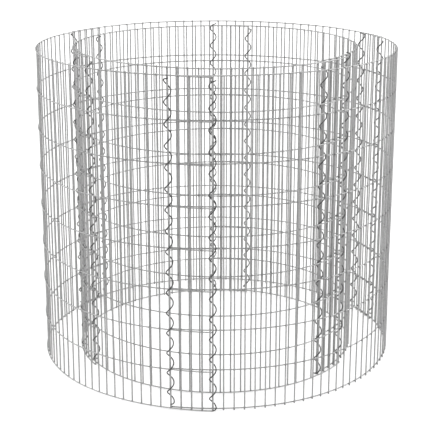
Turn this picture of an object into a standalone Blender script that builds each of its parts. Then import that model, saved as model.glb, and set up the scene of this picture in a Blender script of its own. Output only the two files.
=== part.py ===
"""Round gabion planter: two free-standing rings of welded wire mesh, one inside the other.

Each ring is made of three curved panels. Neighbouring panels overlap by a few cells, and at both
edges of each overlap a spiral wire is wound down round the edge upright of one panel and the
upright of the other panel that stands against it. Stones go between the rings, soil goes inside
the inner one.

Metres, +Z up, the floor is z = 0 and the front is towards -Y. Bearings are measured from the
front, counterclockwise seen from above, so +X is at a bearing of a quarter turn.
"""

import math

import bmesh
import bpy
from mathutils import Vector

# The mesh
HEIGHT = 0.800
CELL_WIDTH = 0.025
CELL_ROWS = 8
UPRIGHT_WIRE = 0.0035
HOOP_WIRE = 0.0030
RIM_WIRE = 0.0040
WIRE_OVERHANG = 0.0030

# The rings
PANELS_PER_RING = 3
OUTER_PANEL_CELLS = 42
INNER_PANEL_CELLS = 34
OVERLAP_CELLS = 4
FRONT_OVERLAP_BEARING = math.radians(-7.6)
INNER_RING_TURN = math.radians(60.6)
# The side of the uprights that the hoops are on, in the panel after each overlap
INSIDE = 1
OUTSIDE = -1
HOOP_SIDES = (INSIDE, OUTSIDE, OUTSIDE)

# The spirals
SPIRAL_WIRE = 0.0030
TURNS_PER_ROW = 2
# Where a spiral passes the hoops at each overlap, turned from outwards: sideways where there are
# hoops on both faces, outwards where all are between the panels, inwards where one is outside
SPIRAL_TURNS = (math.radians(-90), 0, math.radians(180))

# Welds and clearances
WELD_DEPTH = 0.0003
UPRIGHT_CLEARANCE = 0.0003
PANEL_CLEARANCE = 0.0004
SPIRAL_CLEARANCE = 0.0007

# How finely the curves are divided
FACET_CELLS = 4
POINTS_PER_TURN = 6
MERGE_DISTANCE = 0.000001

# A wire is drawn with a square section of the round wire's area.
SQUARE_SIDE_PER_DIAMETER = math.sqrt(math.pi) / 2
UPRIGHT_SIDE = UPRIGHT_WIRE * SQUARE_SIDE_PER_DIAMETER
HOOP_SIDE = HOOP_WIRE * SQUARE_SIDE_PER_DIAMETER
RIM_SIDE = RIM_WIRE * SQUARE_SIDE_PER_DIAMETER
SPIRAL_SIDE = SPIRAL_WIRE * SQUARE_SIDE_PER_DIAMETER

# Two stacked panels leave room for one hoop between their uprights. Hoops that are inside are
# also higher, so that hoops of both panels in that room lie one above the other.
HOOP_SETBACK = UPRIGHT_SIDE / 2 + UPRIGHT_CLEARANCE + HOOP_SIDE / 2
WELDED_UPRIGHT_SETBACK = UPRIGHT_CLEARANCE + WELD_DEPTH
HOOP_ROOM = UPRIGHT_CLEARANCE + HOOP_SIDE + PANEL_CLEARANCE + WELDED_UPRIGHT_SETBACK
STACK_SPACING = UPRIGHT_SIDE + HOOP_ROOM
INSIDE_HOOP_RISE = HOOP_SIDE + PANEL_CLEARANCE
ROW_HEIGHT = (HEIGHT - RIM_SIDE) / CELL_ROWS

GALVANISED = (0.50, 0.51, 0.52, 1.0)
SPIRAL_GREY = (0.40, 0.41, 0.42, 1.0)


def clear_scene():
    for old in list(bpy.data.objects):
        bpy.data.objects.remove(old, do_unlink=True)


def new_collection(name):
    collection = bpy.data.collections.new(name)
    bpy.context.scene.collection.children.link(collection)
    return collection


def zinc(name, colour, roughness):
    material = bpy.data.materials.new(name)
    material.use_nodes = True
    shader = material.node_tree.nodes["Principled BSDF"]
    shader.inputs["Base Color"].default_value = colour
    shader.inputs["Roughness"].default_value = roughness
    shader.inputs["Metallic"].default_value = 0.9
    return material


def outward(bearing):
    return Vector((math.sin(bearing), -math.cos(bearing), 0))


def along(bearing):
    return Vector((math.cos(bearing), math.sin(bearing), 0))


def hoop_height(row):
    return RIM_SIDE / 2 + row * ROW_HEIGHT


class Ring:
    """The layout that the panels and the spirals of one ring share."""

    def __init__(self, name, panel_cells, first_overlap_bearing):
        self.name = name
        self.panel_cells = panel_cells
        self.first_overlap = first_overlap_bearing
        self.overlap_step = math.tau / PANELS_PER_RING
        ring_cells = PANELS_PER_RING * (panel_cells - OVERLAP_CELLS)
        self.cell_angle = math.tau / ring_cells
        self.radius = ring_cells * CELL_WIDTH / math.tau
        # A panel's arc is set off sideways, so that one end lies outside its neighbour's
        # and the other end inside.
        self.arc_offset = STACK_SPACING / 2 / math.sin(self.overlap_step / 2)

    def bends(self):
        """The panel's bends, counted in cells from its first upright: one flat stretch over
        each overlap, and about FACET_CELLS between bends elsewhere. Each bend is midway between
        two uprights, where the hoops can't touch one."""
        flat = OVERLAP_CELLS + 1
        start = -0.5
        free = self.panel_cells + 1 - 2 * flat
        facets = max(1, round(free / FACET_CELLS))
        evenly = [start + flat + free * i / facets for i in range(facets + 1)]
        middle = [math.floor(cells) + 0.5 for cells in evenly]
        return [start, *middle, self.panel_cells + 0.5]

    def on_arc(self, cells):
        bearing = (cells - self.panel_cells / 2) * self.cell_angle
        return self.arc_offset * along(0) + self.radius * outward(bearing)

    def facet(self, cells):
        """The two bends on either side of a place on the panel."""
        bends = self.bends()
        for low, high in zip(bends, bends[1:]):
            if cells <= high:
                return low, high
        return bends[-2], bends[-1]

    def facet_bearing(self, low, high):
        run = self.on_arc(high) - self.on_arc(low)
        return math.atan2(run.y, run.x)

    def place(self, cells, setback):
        """A point of the panel, that far inside the line of its uprights, and its bearing."""
        low, high = self.facet(cells)
        bearing = self.facet_bearing(low, high)
        point = self.on_arc(low).lerp(self.on_arc(high), (cells - low) / (high - low))
        return point - setback * outward(bearing), bearing

    def hoop_path(self, setback, height):
        """One hoop: its two ends, and a corner at every bend between them."""
        bends = self.bends()
        bearings = [self.facet_bearing(low, high) for low, high in zip(bends, bends[1:])]
        first, first_bearing = self.place(0, setback)
        last, last_bearing = self.place(self.panel_cells, setback)
        path = [first - WIRE_OVERHANG * along(first_bearing)]
        for bend, before, after in zip(bends[1:-1], bearings, bearings[1:]):
            mitre = setback / math.cos((after - before) / 2)
            path.append(self.on_arc(bend) - mitre * outward((before + after) / 2))
        path.append(last + WIRE_OVERHANG * along(last_bearing))
        return [point + Vector((0, 0, height)) for point in path]

    def overlap_bearing(self, index):
        return self.first_overlap + index * self.overlap_step

    def spiral_place(self, index, side):
        """The axis of a spiral: midway between the two stacked panels, at the overlap's edge."""
        half_flat = (OVERLAP_CELLS + 1) / 2
        half_angle = half_flat * self.cell_angle
        cell = self.radius * math.sin(half_angle) / half_flat
        bearing = self.overlap_bearing(index)
        reach = self.radius * math.cos(half_angle)
        shift = self.arc_offset * math.cos(self.overlap_step / 2) + side * OVERLAP_CELLS / 2 * cell
        return reach * outward(bearing) + shift * along(bearing)


def wires_mesh(name, paths, side, collection):
    """Closed square wires of one size along the paths, as one mesh. A path is its points and
    the bearing that its section is turned to."""
    curve = bpy.data.curves.new(name, "CURVE")
    curve.dimensions = "3D"
    curve.twist_mode = "Z_UP"
    curve.bevel_depth = side / math.sqrt(2)
    curve.bevel_resolution = 0
    curve.use_fill_caps = True
    for points, turn in paths:
        spline = curve.splines.new("POLY")
        spline.points.add(len(points) - 1)
        for control, point in zip(spline.points, points):
            control.co = (*point, 1)
            control.tilt = math.radians(45) + turn
    wires = bpy.data.objects.new(name, curve)
    collection.objects.link(wires)
    bpy.context.view_layer.update()
    evaluated = wires.evaluated_get(bpy.context.evaluated_depsgraph_get())
    mesh = bpy.data.meshes.new_from_object(evaluated)
    bpy.data.objects.remove(wires)
    shape = bmesh.new()
    shape.from_mesh(mesh)
    bmesh.ops.remove_doubles(shape, verts=shape.verts, dist=MERGE_DISTANCE)
    shape.to_mesh(mesh)
    shape.free()
    return mesh


def joined(base_mesh, added_meshes, name, parts, guides):
    """The union of the meshes, welded where their wires cross."""
    base = bpy.data.objects.new(name, base_mesh)
    parts.objects.link(base)
    for added_mesh in added_meshes:
        added = bpy.data.objects.new(added_mesh.name, added_mesh)
        guides.objects.link(added)
        added.hide_render = True
        added.display_type = "WIRE"
        weld = base.modifiers.new("weld", "BOOLEAN")
        weld.operation = "UNION"
        weld.object = added
    bpy.context.view_layer.update()
    evaluated = base.evaluated_get(bpy.context.evaluated_depsgraph_get())
    mesh = bpy.data.meshes.new_from_object(evaluated)
    bpy.data.objects.remove(base)
    return mesh


def panel_mesh(ring, hoop_side, parts, guides):
    """One curved panel with its middle at the front: uprights that end in the two rim wires,
    and hoops on one side of them, welded to the uprights next to the panel's edges."""
    welded = (1, ring.panel_cells - 1)
    rise = INSIDE_HOOP_RISE if hoop_side == INSIDE else 0
    uprights = []
    for cell in range(ring.panel_cells + 1):
        setback = hoop_side * WELDED_UPRIGHT_SETBACK if cell in welded else 0
        foot, bearing = ring.place(cell, setback)
        ends = [foot + Vector((0, 0, hoop_height(row))) for row in (0, CELL_ROWS)]
        uprights.append((ends, bearing))
    rims = [(ring.hoop_path(0, hoop_height(row)), 0) for row in (0, CELL_ROWS)]
    hoops = []
    for row in range(1, CELL_ROWS):
        path = ring.hoop_path(hoop_side * HOOP_SETBACK, hoop_height(row) + rise)
        hoops.append((path, 0))
    return joined(
        wires_mesh("uprights", uprights, UPRIGHT_SIDE, guides),
        [
            wires_mesh("rims", rims, RIM_SIDE, guides),
            wires_mesh("hoops", hoops, HOOP_SIDE, guides),
        ],
        ring.name,
        parts,
        guides,
    )


def spiral_points():
    """A right-handed spiral round the Z axis, which is at +X at the height of each hoop, and
    stops a point short of each rim."""
    step = math.tau / POINTS_PER_TURN
    stacked = STACK_SPACING / 2 + UPRIGHT_SIDE / 2
    radius = (stacked + SPIRAL_CLEARANCE + SPIRAL_SIDE / 2) / math.cos(step / 2)
    pitch = ROW_HEIGHT / TURNS_PER_ROW
    points = []
    for count in range(1, CELL_ROWS * TURNS_PER_ROW * POINTS_PER_TURN - 1):
        angle = (count + 0.5) * step
        height = hoop_height(0) + pitch * angle / math.tau
        points.append(Vector((radius * math.cos(angle), radius * math.sin(angle), height)))
    return points


def least_gap(points, side):
    """The least gap between stretches of a wound square wire that are half a turn or more
    apart, measured from point to point and less the wire's diagonal."""
    apart = POINTS_PER_TURN // 2
    distances = []
    for index, point in enumerate(points):
        distances += [(other - point).length for other in points[index + apart:]]
    return min(distances) - side * math.sqrt(2)


def spiral_mesh(guides):
    points = spiral_points()
    gap = least_gap(points, SPIRAL_SIDE)
    print(f"least gap of a spiral to itself: {gap * 1000:.1f} mm")
    return wires_mesh("spiral", [(points, 0)], SPIRAL_SIDE, guides)


def add_part(name, mesh, material, collection, location=(0, 0, 0), turn=0):
    part = bpy.data.objects.new(name, mesh)
    part.location = location
    part.rotation_euler.z = turn
    if not mesh.materials:
        mesh.materials.append(material)
    collection.objects.link(part)
    return part


def add_ring(ring, panel_names, overlap_names, spiral, parts, guides):
    panel_zinc = zinc(ring.name + "_zinc", GALVANISED, 0.42)
    panels = {side: panel_mesh(ring, side, parts, guides) for side in (INSIDE, OUTSIDE)}
    for index, (name, hoop_side) in enumerate(zip(panel_names, HOOP_SIDES)):
        middle = ring.overlap_bearing(index + 0.5)
        add_part(f"{ring.name}_panel_{name}", panels[hoop_side], panel_zinc, parts, turn=middle)
    spiral_zinc = zinc(ring.name + "_spiral_zinc", SPIRAL_GREY, 0.38)
    for index, (name, spiral_turn) in enumerate(zip(overlap_names, SPIRAL_TURNS)):
        for letter, side in (("a", -1), ("b", 1)):
            add_part(
                f"{ring.name}_spiral_{name}_{letter}",
                spiral,
                spiral_zinc,
                parts,
                location=ring.spiral_place(index, side),
                turn=ring.overlap_bearing(index) - math.radians(90) + spiral_turn,
            )


clear_scene()
part_collection = new_collection("round_gabion_planter")
guide_collection = new_collection("guides")
spiral_wire = spiral_mesh(guide_collection)
outer = Ring("outer", OUTER_PANEL_CELLS, FRONT_OVERLAP_BEARING)
inner = Ring("inner", INNER_PANEL_CELLS, FRONT_OVERLAP_BEARING + INNER_RING_TURN)
add_ring(
    outer,
    ("right", "back", "left"),
    ("front", "right", "left"),
    spiral_wire,
    part_collection,
    guide_collection,
)
add_ring(
    inner,
    ("right", "left", "front"),
    ("right", "back", "left"),
    spiral_wire,
    part_collection,
    guide_collection,
)
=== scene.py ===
"""Looks of the round gabion planter: round galvanised wires welded at every crossing, and spiral
wires with bent-over ends, in place of the plain square wires of the frame.

Metres, +Z up, the ground at z = 0, the front towards -Y. Bearings are measured from the front,
counterclockwise seen from above.
"""

import math
import random

import bmesh
import bpy
from mathutils import Matrix, Vector, noise


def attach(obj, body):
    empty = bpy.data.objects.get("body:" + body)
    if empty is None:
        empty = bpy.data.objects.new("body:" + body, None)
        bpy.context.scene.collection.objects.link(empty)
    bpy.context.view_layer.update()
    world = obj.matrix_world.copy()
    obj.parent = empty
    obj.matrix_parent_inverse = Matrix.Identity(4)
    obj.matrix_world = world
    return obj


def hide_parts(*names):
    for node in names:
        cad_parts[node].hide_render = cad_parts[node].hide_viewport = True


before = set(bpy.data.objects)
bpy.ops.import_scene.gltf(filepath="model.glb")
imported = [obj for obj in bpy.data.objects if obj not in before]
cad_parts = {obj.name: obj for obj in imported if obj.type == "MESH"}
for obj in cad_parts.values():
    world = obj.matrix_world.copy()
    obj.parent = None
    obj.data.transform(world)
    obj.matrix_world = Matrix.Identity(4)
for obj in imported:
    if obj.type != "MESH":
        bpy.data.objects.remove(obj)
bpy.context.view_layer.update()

# The mesh, as in the frame
HEIGHT = 0.800
CELL_WIDTH = 0.025
CELL_ROWS = 8
PANELS_PER_RING = 3
OVERLAP_CELLS = 4
FRONT_OVERLAP_BEARING = math.radians(-7.6)
INNER_RING_TURN = math.radians(60.6)
PANEL_CELLS = {"outer": 42, "inner": 34}
FIRST_OVERLAP_BEARING = {
    "outer": FRONT_OVERLAP_BEARING,
    "inner": FRONT_OVERLAP_BEARING + INNER_RING_TURN,
}
PANEL_NAMES = {"outer": ("right", "back", "left"), "inner": ("right", "left", "front")}
OVERLAP_NAMES = {"outer": ("front", "right", "left"), "inner": ("right", "back", "left")}
# The side of the uprights that the hoops are on, in the panel after each overlap
INSIDE = 1
OUTSIDE = -1
HOOP_SIDES = (INSIDE, OUTSIDE, OUTSIDE)

# The wires' diameters, how many sides they have and how much their ends are chamfered
UPRIGHT_WIRE = 0.0035
HOOP_WIRE = 0.0030
SPIRAL_WIRE = 0.0030
WIRE_SIDES = 8
END_CHAMFER = 0.0004
# How deep crossing wires are sunk into each other, and so how far apart their middles are
WELD_SINK = 0.0005
HOOP_SETBACK = (UPRIGHT_WIRE + HOOP_WIRE) / 2 - WELD_SINK
# A weld nugget's radius, and its depth as a share of that
WELD_RADII = (0.0016, 0.0021)
WELD_FLATNESS = 0.7
# How far the hoops run on past a panel's last uprights, and the uprights past its rim wires
HOOP_OVERHANG = 0.0020
BOTTOM_STUBS = {INSIDE: 0.0024, OUTSIDE: 0.0008}
TOP_STUBS = {INSIDE: 0.0002, OUTSIDE: 0.0010}
# How much higher than that an upright may start and end
BOTTOM_STRAY = (0, 0.0006)
TOP_STRAY = (-0.0005, 0.0004)

# How far apart the uprights of overlapping panels are: the same at every overlap in the frame,
# and here so that the panels all but touch, with no layer of hoops between their uprights at a
# ring's first overlap, both layers at its second and one at its third
FRAME_SPACING = 0.0071
CLEARANCE = 0.0002
SPACINGS = (
    UPRIGHT_WIRE + CLEARANCE,
    2 * HOOP_SETBACK + HOOP_WIRE + CLEARANCE,
    HOOP_SETBACK + (HOOP_WIRE + UPRIGHT_WIRE) / 2 + CLEARANCE,
)

# A panel's lift off the ground at its start, one overlap on, one overlap before its end and at it
PANEL_LIFTS = {
    "outer_right": (0.0, 0.001, 0.001, 0.0),
    "outer_back": (0.0015, 0.0015, 0.001, 0.0005),
    "outer_left": (0.001, 0.001, 0.0025, 0.0),
    "inner_right": (0.002, 0.002, 0.001, 0.0),
    "inner_left": (0.001, 0.001, 0.001, 0.001),
    "inner_front": (0.003, 0.003, 0.001, 0.0),
}

# The spirals: their turns keep step with the hoops, from about the lowest hoop's height up
SPIRAL_RADIUS = 0.0080
SPIRAL_POINTS_PER_TURN = 18
SPIRAL_FOOT = 0.0025
TURNS_PER_ROW = 2
PITCH = (HEIGHT - 2 * SPIRAL_FOOT) / CELL_ROWS / TURNS_PER_ROW
# How much of a turn is bent over at each end, and the share of the pitch that it climbs at
END_TURN = 0.25
END_SLOPE = 0.25
# For each spiral its bearing at the hoops' height in degrees, and its first and last turn
SPIRALS = {
    "outer_front_a": (-27, 0.05, 16.12),
    "outer_front_b": (55, -0.15, 16.05),
    "outer_right_a": (126, 0.05, 16.00),
    "outer_right_b": (133, 0.05, 16.15),
    "outer_left_a": (138, 0.05, 15.75),
    "outer_left_b": (-67, 0.05, 16.12),
    "inner_right_a": (-52, -0.10, 15.95),
    "inner_right_b": (60, 0.05, 16.35),
    "inner_back_a": (156, 0.05, 16.05),
    "inner_back_b": (-48, 0.05, 16.35),
    "inner_left_a": (126, 0.05, 15.90),
    "inner_left_b": (151, 0.05, 15.95),
}

# How far all wires stray from true, and the scale of the noise that moves them
STRAY = 0.0009
STRAY_SCALE = 5
# How far a spiral strays from round, in radians and as a share of its radius, and the scale of
# that noise across and up
WANDER = 0.03
WANDER_SCALE_ACROSS = 9
WANDER_SCALE_UP = 14
SEED = 7

# Tones, from the bright zinc at 0 to the dark one at 1
UPRIGHT_TONES = (0.0, 0.15)
HOOP_TONES = (0.15, 0.35)
WELD_TONES = (0.5, 0.9)
# How much darker than its wire the spot at a weld is, partly burnt zinc and partly painted shade
# where the crossing wire shades it, and how far along the wire it reaches
BURN_AND_SHADE_TONES = (0.3, 0.6)
WELD_BURN_AND_SHADE = 0.0035
# A spiral's tone, and how much its noise changes it
SPIRAL_TONE = 0.25
SPIRAL_TONE_CHANGE = 0.5

# The zinc: its bright, dull and dark greys, and its lowest and highest roughness
METALLIC = 0.3
MESH_GREYS = (0.5, 0.42, 0.09)
MESH_ROUGHNESS = (0.34, 0.56)
SPIRAL_GREYS = (0.08, 0.055, 0.02)
SPIRAL_ROUGHNESS = (0.3, 0.5)
# Its noises, by scale and detail, and the values between which such a noise mostly lies
CRYSTALS = (420, 3)
PATCHES = (22, 4)
FLECKS = (900, 2)
NOISE_SPAN = (0.3, 0.7)
# How dark the crystals and the flecks get, and the values over which a fleck sets in
CRYSTAL_DARKNESS = 0.35
FLECK_DARKNESS = 0.5
FLECK_SPAN = (0.62, 0.72)
BUMP_STRENGTH = 0.25
BUMP_DISTANCE = 0.0003

# The stage, whose floor lies just below the wires
WORLD_LEVEL = 0.4
FLOOR_SIZE = 60.0
FLOOR_GAP = 0.0003
FLOOR_GREY = 0.5
FLOOR_ROUGHNESS = 0.9
FLOOR_GLOW = 0.6
# For each sun its bearing, elevation and softness in degrees, and its level
SUNS = {
    "top": (0, 75, 50, 0.55),
    "left": (-100, 20, 40, 0.7),
    "right": (95, 20, 40, 1.0),
}

# The camera, fitted to the rims in the photograph: the pixels are the photograph's, and the pitch
# is in radians
IMAGE_SIZE = 430
FOCAL_PIXELS = 1194.8
CENTRE_X_PIXEL = 216.05
CENTRE_Y_PIXEL = 193.5
CAMERA_DISTANCE = 3.0275
CAMERA_HEIGHT = 1.2613
CAMERA_PITCH = 0.2755
SENSOR_WIDTH = 36.0

random.seed(SEED)
noise.seed_set(SEED)


def outward(bearing):
    return Vector((math.sin(bearing), -math.cos(bearing), 0))


def along(bearing):
    return Vector((math.cos(bearing), math.sin(bearing), 0))


def strayed(point):
    """The point, moved a little by a smooth noise."""
    return point + STRAY * noise.noise_vector(point * STRAY_SCALE)


def grey(level):
    return (level, level, level, 1)


def new_material(name):
    material = bpy.data.materials.new(name)
    material.use_nodes = True
    return material, material.node_tree.nodes, material.node_tree.links


def noise_node(nodes, links, position, scale, detail):
    node = nodes.new("ShaderNodeTexNoise")
    node.inputs["Scale"].default_value = scale
    node.inputs["Detail"].default_value = detail
    links.new(position, node.inputs["Vector"])
    return node.outputs["Fac"]


def spread(nodes, links, value, low, high, span=NOISE_SPAN):
    """What lies in that span of the value, spread from low to high."""
    start, end = span
    node = nodes.new("ShaderNodeMapRange")
    node.inputs["From Min"].default_value = start
    node.inputs["From Max"].default_value = end
    node.inputs["To Min"].default_value = low
    node.inputs["To Max"].default_value = high
    links.new(value, node.inputs["Value"])
    return node.outputs["Result"]


def mixed(nodes, links, factor, first, second):
    """A mix of two colours, each a plain one or another node's output."""
    node = nodes.new("ShaderNodeMix")
    node.data_type = "RGBA"
    links.new(factor, node.inputs["Factor"])
    for colour, socket in ((first, node.inputs["A"]), (second, node.inputs["B"])):
        if isinstance(colour, tuple):
            socket.default_value = colour
        else:
            links.new(colour, socket)
    return node.outputs["Result"]


def zinc_material(name, greys, roughness):
    """Galvanised wire: a fine crystal mottle, duller oxide patches, slightly raised dark flecks
    and a tone of its own for each wire, darker at each crossing with burnt zinc and painted shade."""
    material, nodes, links = new_material(name)
    shader = nodes["Principled BSDF"]
    bright, dull, dark = [grey(level) for level in greys]
    position = nodes.new("ShaderNodeTexCoord").outputs["Object"]
    crystals = noise_node(nodes, links, position, *CRYSTALS)
    patches = noise_node(nodes, links, position, *PATCHES)
    flecks = noise_node(nodes, links, position, *FLECKS)
    tone = nodes.new("ShaderNodeAttribute")
    tone.attribute_name = "tone"
    coat = mixed(nodes, links, spread(nodes, links, patches, 0, 1), bright, dull)
    darkenings = (
        spread(nodes, links, crystals, 0, CRYSTAL_DARKNESS),
        spread(nodes, links, flecks, 0, FLECK_DARKNESS, FLECK_SPAN),
        tone.outputs["Fac"],
    )
    for darkening in darkenings:
        coat = mixed(nodes, links, darkening, coat, dark)
    links.new(coat, shader.inputs["Base Color"])
    links.new(spread(nodes, links, crystals, *roughness), shader.inputs["Roughness"])
    shader.inputs["Metallic"].default_value = METALLIC
    bump = nodes.new("ShaderNodeBump")
    bump.inputs["Strength"].default_value = BUMP_STRENGTH
    bump.inputs["Distance"].default_value = BUMP_DISTANCE
    links.new(flecks, bump.inputs["Height"])
    links.new(bump.outputs["Normal"], shader.inputs["Normal"])
    return material


class Wires:
    """A mesh that round wires and welds are added to, each with its own tone."""

    def __init__(self):
        self.shape = bmesh.new()
        self.tone = self.shape.verts.layers.float.new("tone")

    def ring(self, centre, side, up, radius, tone):
        """The corners of a wire's section."""
        verts = []
        for index in range(WIRE_SIDES):
            angle = math.tau * index / WIRE_SIDES
            place = centre + radius * (math.cos(angle) * side + math.sin(angle) * up)
            vert = self.shape.verts.new(place)
            vert[self.tone] = tone
            verts.append(vert)
        return verts

    def wire(self, points, diameter, tones):
        """A round wire along the points, with a tone at each and with chamfered ends."""
        tangents = []
        for index in range(len(points)):
            before = points[max(index - 1, 0)]
            after = points[min(index + 1, len(points) - 1)]
            tangents.append((after - before).normalized())
        full = diameter / 2
        cut = full - END_CHAMFER
        start = points[0] + END_CHAMFER * tangents[0]
        finish = points[-1] - END_CHAMFER * tangents[-1]
        stations = [(points[0], tangents[0], cut, tones[0]), (start, tangents[0], full, tones[0])]
        for point, tangent, tone in zip(points[1:-1], tangents[1:-1], tones[1:-1]):
            stations.append((point, tangent, full, tone))
        stations.append((finish, tangents[-1], full, tones[-1]))
        stations.append((points[-1], tangents[-1], cut, tones[-1]))
        side = tangents[0].orthogonal().normalized()
        rings = []
        for place, tangent, radius, tone in stations:
            side = (side - side.dot(tangent) * tangent).normalized()
            rings.append(self.ring(place, side, tangent.cross(side), radius, tone))
        for low, high in zip(rings, rings[1:]):
            for index in range(WIRE_SIDES):
                other = (index + 1) % WIRE_SIDES
                face = self.shape.faces.new((low[index], low[other], high[other], high[index]))
                face.smooth = True
        self.shape.faces.new(list(reversed(rings[0])))
        self.shape.faces.new(rings[-1])

    def weld(self, place, bearing, radius, tone):
        """The flattened nugget where two wires are welded."""
        turn = Matrix.Rotation(bearing, 4, "Z")
        stretch = Matrix.Diagonal((radius, radius * WELD_FLATNESS, radius, 1))
        made = bmesh.ops.create_icosphere(
            self.shape, subdivisions=1, radius=1, matrix=Matrix.Translation(place) @ turn @ stretch
        )
        for vert in made["verts"]:
            vert[self.tone] = tone
            for face in vert.link_faces:
                face.smooth = True

    def piece(self, name, material):
        mesh = bpy.data.meshes.new(name)
        self.shape.normal_update()
        self.shape.to_mesh(mesh)
        self.shape.free()
        mesh.materials.append(material)
        piece = bpy.data.objects.new(name, mesh)
        bpy.context.scene.collection.objects.link(piece)
        return piece


class Ring:
    """Where the wires of one ring go."""

    def __init__(self, name):
        self.name = name
        self.cells = PANEL_CELLS[name]
        ring_cells = PANELS_PER_RING * (self.cells - OVERLAP_CELLS)
        self.cell_angle = math.tau / ring_cells
        self.radius = ring_cells * CELL_WIDTH / math.tau
        self.step = math.tau / PANELS_PER_RING
        # The centre of a panel's arc is this far from the ring's, along the panel, so that at
        # each overlap the panel that ends is outside the one that starts
        self.arc_offset = FRAME_SPACING / 2 / math.sin(self.step / 2)

    def overlap_bearing(self, index):
        return FIRST_OVERLAP_BEARING[self.name] + index * self.step

    def place(self, panel, cells, setback, height):
        """A point of a panel, that many cells from its start and that far inside the line of its
        uprights, and its bearing."""
        middle = self.overlap_bearing(panel + 0.5)
        bearing = middle + (cells - self.cells / 2) * self.cell_angle
        # Each end moves by half the difference between the frame's spacing and its overlap's
        first = FRAME_SPACING - SPACINGS[panel]
        last = SPACINGS[(panel + 1) % PANELS_PER_RING] - FRAME_SPACING
        slack = (first + (last - first) * cells / self.cells) / 2
        reach = self.radius + slack - setback
        point = self.arc_offset * along(middle) + reach * outward(bearing)
        point.z = height
        return strayed(point), bearing


class Panel:
    """One panel's place in its ring, its lift off the ground and the heights of its hoops."""

    def __init__(self, ring, index):
        self.ring = ring
        self.index = index
        self.name = PANEL_NAMES[ring.name][index]
        self.lifts = PANEL_LIFTS[f"{ring.name}_{self.name}"]
        self.side = HOOP_SIDES[index]
        self.lowest = BOTTOM_STUBS[self.side] + HOOP_WIRE / 2
        self.highest = HEIGHT - TOP_STUBS[self.side] - HOOP_WIRE / 2

    def lift(self, cells):
        marks = (0, OVERLAP_CELLS, self.ring.cells - OVERLAP_CELLS, self.ring.cells)
        cells = min(max(cells, 0), self.ring.cells)
        for start, end, low, high in zip(marks, marks[1:], self.lifts, self.lifts[1:]):
            if cells <= end:
                return low + (high - low) * (cells - start) / (end - start)

    def hoop_level(self, row, cells):
        level = self.lowest + (self.highest - self.lowest) * row / CELL_ROWS
        return level + self.lift(cells)

    def point(self, cells, setback, level):
        return self.ring.place(self.index, cells, setback, level)

    def add_upright(self, wires, cell):
        bottom = self.lift(cell) + random.uniform(*BOTTOM_STRAY)
        top = HEIGHT + self.lift(cell) + random.uniform(*TOP_STRAY)
        plain = random.uniform(*UPRIGHT_TONES)
        # A darker spot at each hoop: partly burnt zinc, partly painted shade of the crossing hoop
        burnt_and_shaded = plain + random.uniform(*BURN_AND_SHADE_TONES)
        half_row = (self.highest - self.lowest) / CELL_ROWS / 2
        stations = [(bottom, plain), (top, plain)]
        for row in range(CELL_ROWS + 1):
            level = self.hoop_level(row, cell)
            stations.append((level, burnt_and_shaded))
            stations += [(level + reach, plain) for reach in (-WELD_BURN_AND_SHADE, WELD_BURN_AND_SHADE, half_row)]
        stations = sorted(station for station in stations if bottom <= station[0] <= top)
        points = [self.point(cell, 0, level)[0] for level, tone in stations]
        wires.wire(points, UPRIGHT_WIRE, [tone for level, tone in stations])

    def add_hoop(self, wires, row):
        plain = random.uniform(*HOOP_TONES)
        overhang = HOOP_OVERHANG / CELL_WIDTH
        burn_and_shade_cells = WELD_BURN_AND_SHADE / CELL_WIDTH
        stations = [(-overhang, plain)]
        for cell in range(self.ring.cells + 1):
            # A darker spot at each upright: partly burnt zinc, partly painted shade of the
            # crossing upright
            burnt_and_shaded = plain + random.uniform(*BURN_AND_SHADE_TONES)
            stations += [(cell - burn_and_shade_cells, plain), (cell, burnt_and_shaded)]
            stations += [(cell + burn_and_shade_cells, plain), (cell + 0.5, plain)]
        last = self.ring.cells + overhang
        stations = [station for station in stations if -overhang <= station[0] < last]
        stations.append((last, plain))
        points = []
        for cells, tone in stations:
            level = self.hoop_level(row, cells)
            points.append(self.point(cells, self.side * HOOP_SETBACK, level)[0])
        wires.wire(points, HOOP_WIRE, [tone for cells, tone in stations])

    def add_welds(self, wires, row):
        setback = self.side * (UPRIGHT_WIRE - WELD_SINK) / 2
        for cell in range(self.ring.cells + 1):
            point, bearing = self.point(cell, setback, self.hoop_level(row, cell))
            wires.weld(point, bearing, random.uniform(*WELD_RADII), random.uniform(*WELD_TONES))

    def piece(self, material):
        wires = Wires()
        for cell in range(self.ring.cells + 1):
            self.add_upright(wires, cell)
        for row in range(CELL_ROWS + 1):
            self.add_hoop(wires, row)
            self.add_welds(wires, row)
        return wires.piece(f"wire_{self.ring.name}_panel_{self.name}", material)


def wound_height(turn, first, last):
    """The height of a spiral's wire, which flattens over its first and its last END_TURN."""
    steep = min(max(turn, first + END_TURN), last - END_TURN)
    return SPIRAL_FOOT + PITCH * (steep + END_SLOPE * (turn - steep))


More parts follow.
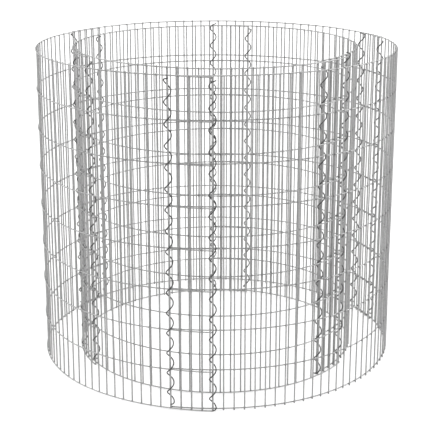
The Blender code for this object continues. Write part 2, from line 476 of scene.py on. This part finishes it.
def spiral_piece(ring, index, name, edge, material):
    """A right-handed spiral round the uprights at one edge of an overlap."""
    facing, first, last = SPIRALS[f"{ring.name}_{name}"]
    bearing = ring.overlap_bearing(index)
    half_overlap = OVERLAP_CELLS / 2 * ring.cell_angle
    axis = ring.radius * outward(bearing + edge * half_overlap)
    # Both panels' arcs lie this far along at their overlap, and the spiral with them
    axis += ring.arc_offset * math.cos(ring.step / 2) * along(bearing)
    points = []
    tones = []
    steps = round((last - first) * SPIRAL_POINTS_PER_TURN)
    for step in range(steps + 1):
        turn = first + (last - first) * step / steps
        level = max(wound_height(turn, first, last), SPIRAL_WIRE / 2)
        across = (axis.x * WANDER_SCALE_ACROSS, axis.y * WANDER_SCALE_ACROSS)
        wander = noise.noise(Vector((*across, level * WANDER_SCALE_UP)))
        angle = math.radians(facing) + turn * math.tau + WANDER * wander
        centre = strayed(Vector((axis.x, axis.y, level)))
        points.append(centre + SPIRAL_RADIUS * (1 + WANDER * wander) * outward(angle))
        tones.append(SPIRAL_TONE + SPIRAL_TONE_CHANGE * wander)
    wires = Wires()
    wires.wire(points, SPIRAL_WIRE, tones)
    return wires.piece(f"wire_{ring.name}_spiral_{name}", material)


def build_ring(name, mesh_zinc, spiral_zinc):
    ring = Ring(name)
    for index in range(PANELS_PER_RING):
        panel = Panel(ring, index)
        piece = panel.piece(mesh_zinc)
        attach(piece, f"{name}_ring")
        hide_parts(f"{name}_panel_{panel.name}")
    for index, overlap in enumerate(OVERLAP_NAMES[name]):
        for letter, edge in (("a", -1), ("b", 1)):
            piece = spiral_piece(ring, index, f"{overlap}_{letter}", edge, spiral_zinc)
            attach(piece, f"{name}_ring")
            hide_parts(f"{name}_spiral_{overlap}_{letter}")


def seen_directly(nodes, links):
    """1 for what the camera sees itself or in metal or glass, 0 for the light that falls."""
    path = nodes.new("ShaderNodeLightPath")
    total = path.outputs["Is Camera Ray"]
    for name in ("Is Glossy Ray", "Is Transmission Ray"):
        add = nodes.new("ShaderNodeMath")
        add.operation = "MAXIMUM"
        links.new(total, add.inputs[0])
        links.new(path.outputs[name], add.inputs[1])
        total = add.outputs[0]
    return total


def add_world():
    world = bpy.data.worlds.new("studio")
    bpy.context.scene.world = world
    world.use_nodes = True
    nodes, links = world.node_tree.nodes, world.node_tree.links
    light = nodes["Background"]
    light.inputs["Color"].default_value = grey(1)
    light.inputs["Strength"].default_value = WORLD_LEVEL
    white = nodes.new("ShaderNodeBackground")
    white.inputs["Color"].default_value = grey(1)
    white.inputs["Strength"].default_value = 1.0
    mix = nodes.new("ShaderNodeMixShader")
    links.new(seen_directly(nodes, links), mix.inputs["Fac"])
    links.new(light.outputs["Background"], mix.inputs[1])
    links.new(white.outputs["Background"], mix.inputs[2])
    links.new(mix.outputs["Shader"], nodes["World Output"].inputs["Surface"])


def add_floor():
    """White where it is seen, less the part of its light that a shadow takes away."""
    bpy.ops.mesh.primitive_plane_add(size=FLOOR_SIZE, location=(0, 0, -FLOOR_GAP))
    floor = bpy.context.object
    floor.name = "floor"
    material, nodes, links = new_material("floor_white")
    shader = nodes["Principled BSDF"]
    shader.inputs["Base Color"].default_value = grey(FLOOR_GREY)
    shader.inputs["Roughness"].default_value = FLOOR_ROUGHNESS
    shader.inputs["Specular IOR Level"].default_value = 0.0
    glow = nodes.new("ShaderNodeEmission")
    glow.inputs["Color"].default_value = grey(1)
    glow.inputs["Strength"].default_value = FLOOR_GLOW
    both = nodes.new("ShaderNodeAddShader")
    links.new(shader.outputs["BSDF"], both.inputs[0])
    links.new(glow.outputs["Emission"], both.inputs[1])
    mix = nodes.new("ShaderNodeMixShader")
    links.new(seen_directly(nodes, links), mix.inputs["Fac"])
    links.new(shader.outputs["BSDF"], mix.inputs[1])
    links.new(both.outputs["Shader"], mix.inputs[2])
    links.new(mix.outputs["Shader"], nodes["Material Output"].inputs["Surface"])
    floor.data.materials.append(material)


def add_sun(name, bearing, elevation, softness, level):
    """A soft sun, under which a white surface that faces it renders at that level."""
    sun = bpy.data.lights.new(name, "SUN")
    sun.angle = math.radians(softness)
    sun.energy = level * math.pi
    sun_object = bpy.data.objects.new(name, sun)
    sun_object.rotation_euler = (math.radians(90 - elevation), 0, math.radians(bearing))
    bpy.context.scene.collection.objects.link(sun_object)


def add_camera():
    camera = bpy.data.cameras.new("camera")
    camera.sensor_width = SENSOR_WIDTH
    camera.lens = FOCAL_PIXELS * SENSOR_WIDTH / IMAGE_SIZE
    camera.shift_x = (IMAGE_SIZE / 2 - CENTRE_X_PIXEL) / IMAGE_SIZE
    camera.shift_y = (CENTRE_Y_PIXEL - IMAGE_SIZE / 2) / IMAGE_SIZE
    camera_object = bpy.data.objects.new("camera", camera)
    camera_object.location = (0, -CAMERA_DISTANCE, CAMERA_HEIGHT)
    camera_object.rotation_euler = (math.radians(90) - CAMERA_PITCH, 0, 0)
    bpy.context.scene.collection.objects.link(camera_object)
    bpy.context.scene.camera = camera_object


add_camera()
add_world()
add_floor()
for sun_name, settings in SUNS.items():
    add_sun(sun_name, *settings)
mesh_zinc = zinc_material("galvanised_mesh", MESH_GREYS, MESH_ROUGHNESS)
spiral_zinc = zinc_material("galvanised_spiral", SPIRAL_GREYS, SPIRAL_ROUGHNESS)
build_ring("outer", mesh_zinc, spiral_zinc)
build_ring("inner", mesh_zinc, spiral_zinc)

bpy.context.scene.view_settings.view_transform = "Standard"
